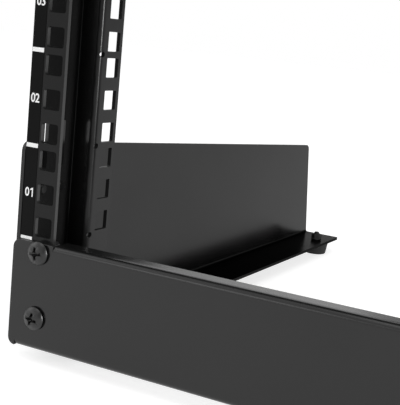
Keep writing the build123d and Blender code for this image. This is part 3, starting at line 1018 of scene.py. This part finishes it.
# The fit's results: place in metres, turns in degrees, focal length and centre in pixels
CAMERA_PLACE = (0.041037, -0.524850, 0.164413)
CAMERA_TURNS = (25.1158, 8.5590, 5.7715)
FOCAL_PIXELS = 939.71
CENTRE_PIXELS = (262, 180)


def pale_floor():
    """A wide flat floor that shows white to the camera where nothing shades it."""
    points = [(-6000, -6000, 0), (6000, -6000, 0), (6000, 6000, 0), (-6000, 6000, 0)]
    mesh = to_mesh("pale_floor", points, [[0, 1, 2, 3]], smooth=False)
    floor = new_object("pale_floor", mesh)
    material, tree, shader = blank_material("pale_floor_paint")
    shader.inputs["Base Color"].default_value = (*grey(FLOOR_TONE), 1)
    shader.inputs["Roughness"].default_value = 0.9
    shader.inputs["Specular IOR Level"].default_value = 0.1
    glow = tree.nodes.new("ShaderNodeEmission")
    strength = math_node(tree, "MULTIPLY", seen_ray(tree), FLOOR_GLOW)
    tree.links.new(strength, glow.inputs["Strength"])
    both = tree.nodes.new("ShaderNodeAddShader")
    tree.links.new(shader.outputs[0], both.inputs[0])
    tree.links.new(glow.outputs[0], both.inputs[1])
    tree.links.new(both.outputs[0], tree.nodes["Material Output"].inputs["Surface"])
    mesh.materials.append(material)


def seen_ray(tree):
    """1 for rays from the camera, and for mirror-like and see-through rays, else 0."""
    path = tree.nodes.new("ShaderNodeLightPath")
    total = path.outputs["Is Camera Ray"]
    for name in ("Is Glossy Ray", "Is Transmission Ray"):
        total = math_node(tree, "MAXIMUM", total, path.outputs[name])
    return total


def studio_world():
    """White where it is seen or mirrored, and a softer even light elsewhere. For mirrored rays
    the studio is dark high up behind the rack and at its right. How dark is the larger of two
    products: height times how far behind, and above the horizon times how far to the right. The
    camera's own background stays white, so only glossy faces and bends show the dark parts."""
    world = bpy.data.worlds.new("white_studio")
    bpy.context.scene.world = world
    world.use_nodes = True
    tree = world.node_tree
    link = tree.links.new
    tree.nodes.clear()
    soft = node(tree, "ShaderNodeBackground", Strength=SOFT_LIGHT, Color=(1, 1, 1, 1))
    white = node(tree, "ShaderNodeBackground", Color=(1, 1, 1, 1))
    way = node(tree, "ShaderNodeSeparateXYZ")
    link(tree.nodes.new("ShaderNodeTexCoord").outputs["Generated"], way.inputs[0])
    high = remap(tree, way.outputs["Z"], 0.16, 0.36, 0.0, 1.0)
    behind = remap(tree, way.outputs["Y"], 0.0, 0.25, 0.0, 1.0)
    sky = remap(tree, way.outputs["Z"], 0.0, 0.06, 0.0, 1.0)
    beside = remap(tree, way.outputs["X"], 0.25, 0.50, 0.0, 0.9)
    dark_side = math_node(tree, "MULTIPLY", sky, beside)
    darker = math_node(tree, "MAXIMUM", math_node(tree, "MULTIPLY", high, behind), dark_side)
    camera_ray = tree.nodes.new("ShaderNodeLightPath").outputs["Is Camera Ray"]
    mirrored = math_node(tree, "SUBTRACT", 1.0, camera_ray)
    dark_mirrored = math_node(tree, "MULTIPLY", darker, mirrored)
    strength = remap(tree, dark_mirrored, 0.0, 1.0, 1.0, DARK_STUDIO)
    link(strength, white.inputs["Strength"])
    mix = tree.nodes.new("ShaderNodeMixShader")
    out = tree.nodes.new("ShaderNodeOutputWorld")
    link(seen_ray(tree), mix.inputs["Fac"])
    link(soft.outputs[0], mix.inputs[1])
    link(white.outputs[0], mix.inputs[2])
    link(mix.outputs[0], out.inputs["Surface"])


def soft_lamp(name, place, aim, width, height, energy):
    """A flat soft lamp that faces its aim."""
    lamp = bpy.data.lights.new(name, "AREA")
    lamp.shape = "RECTANGLE"
    lamp.size, lamp.size_y = width, height
    lamp.energy = energy
    holder = new_object(name, lamp)
    holder.location = place
    way = np.array(aim) - np.array(place)
    back = -way / np.linalg.norm(way)
    right = np.cross((0, 0, 1), back)
    right /= np.linalg.norm(right)
    up = np.cross(back, right)
    holder.rotation_euler = Matrix(np.stack([right, up, back], axis=1).tolist()).to_euler()


def photo_camera():
    """The camera that a fit to the photograph's edges gave, as turns about its axes in degrees:
    yaw to the left of +Y, pitch down, and roll."""
    yaw, pitch, roll = (math.radians(w) for w in CAMERA_TURNS)
    ahead = math.cos(pitch)
    forward = np.array([-math.sin(yaw) * ahead, math.cos(yaw) * ahead, -math.sin(pitch)])
    level = np.array([math.cos(yaw), math.sin(yaw), 0.0])
    upright = np.cross(level, forward)
    right = math.cos(roll) * level + math.sin(roll) * upright
    up = -math.sin(roll) * level + math.cos(roll) * upright
    camera = bpy.data.cameras.new("photo_camera")
    camera.sensor_fit = "HORIZONTAL"
    camera.sensor_width = SENSOR_WIDTH
    camera.lens = FOCAL_PIXELS * SENSOR_WIDTH / IMAGE_WIDTH
    camera.shift_x = (IMAGE_WIDTH / 2 - CENTRE_PIXELS[0]) / IMAGE_WIDTH
    camera.shift_y = (CENTRE_PIXELS[1] - IMAGE_HEIGHT / 2) / IMAGE_WIDTH
    camera.clip_start = 0.01
    camera.clip_end = 50.0
    holder = new_object("photo_camera", camera)
    turn = Matrix(np.stack([right, up, -forward], axis=1).tolist()).to_4x4()
    holder.matrix_world = Matrix.Translation(CAMERA_PLACE) @ turn
    bpy.context.scene.camera = holder


pale_floor()
studio_world()
soft_lamp("top_softbox", (0.0, -0.6, 2.1), (-0.1, -0.1, 0.3), 1.4, 1.4, 9.0)
soft_lamp("front_left_card", (-1.25, -2.15, 0.9), (-0.2, -0.15, 0.1), 0.75, 0.75, 3.5)
soft_lamp("side_softbox", (1.95, -0.75, 0.45), (-0.2, -0.15, 0.2), 0.5, 0.8, 46.0)
soft_lamp("left_softbox", (-2.2, -0.9, 1.5), (0.0, 0.0, 0.3), 1.5, 1.5, 8.0)
soft_lamp("rear_softbox", (-1.5, 2.2, 1.5), (0.0, 0.0, 0.3), 1.5, 1.5, 6.0)
photo_camera()
bpy.context.scene.view_settings.view_transform = "Standard"
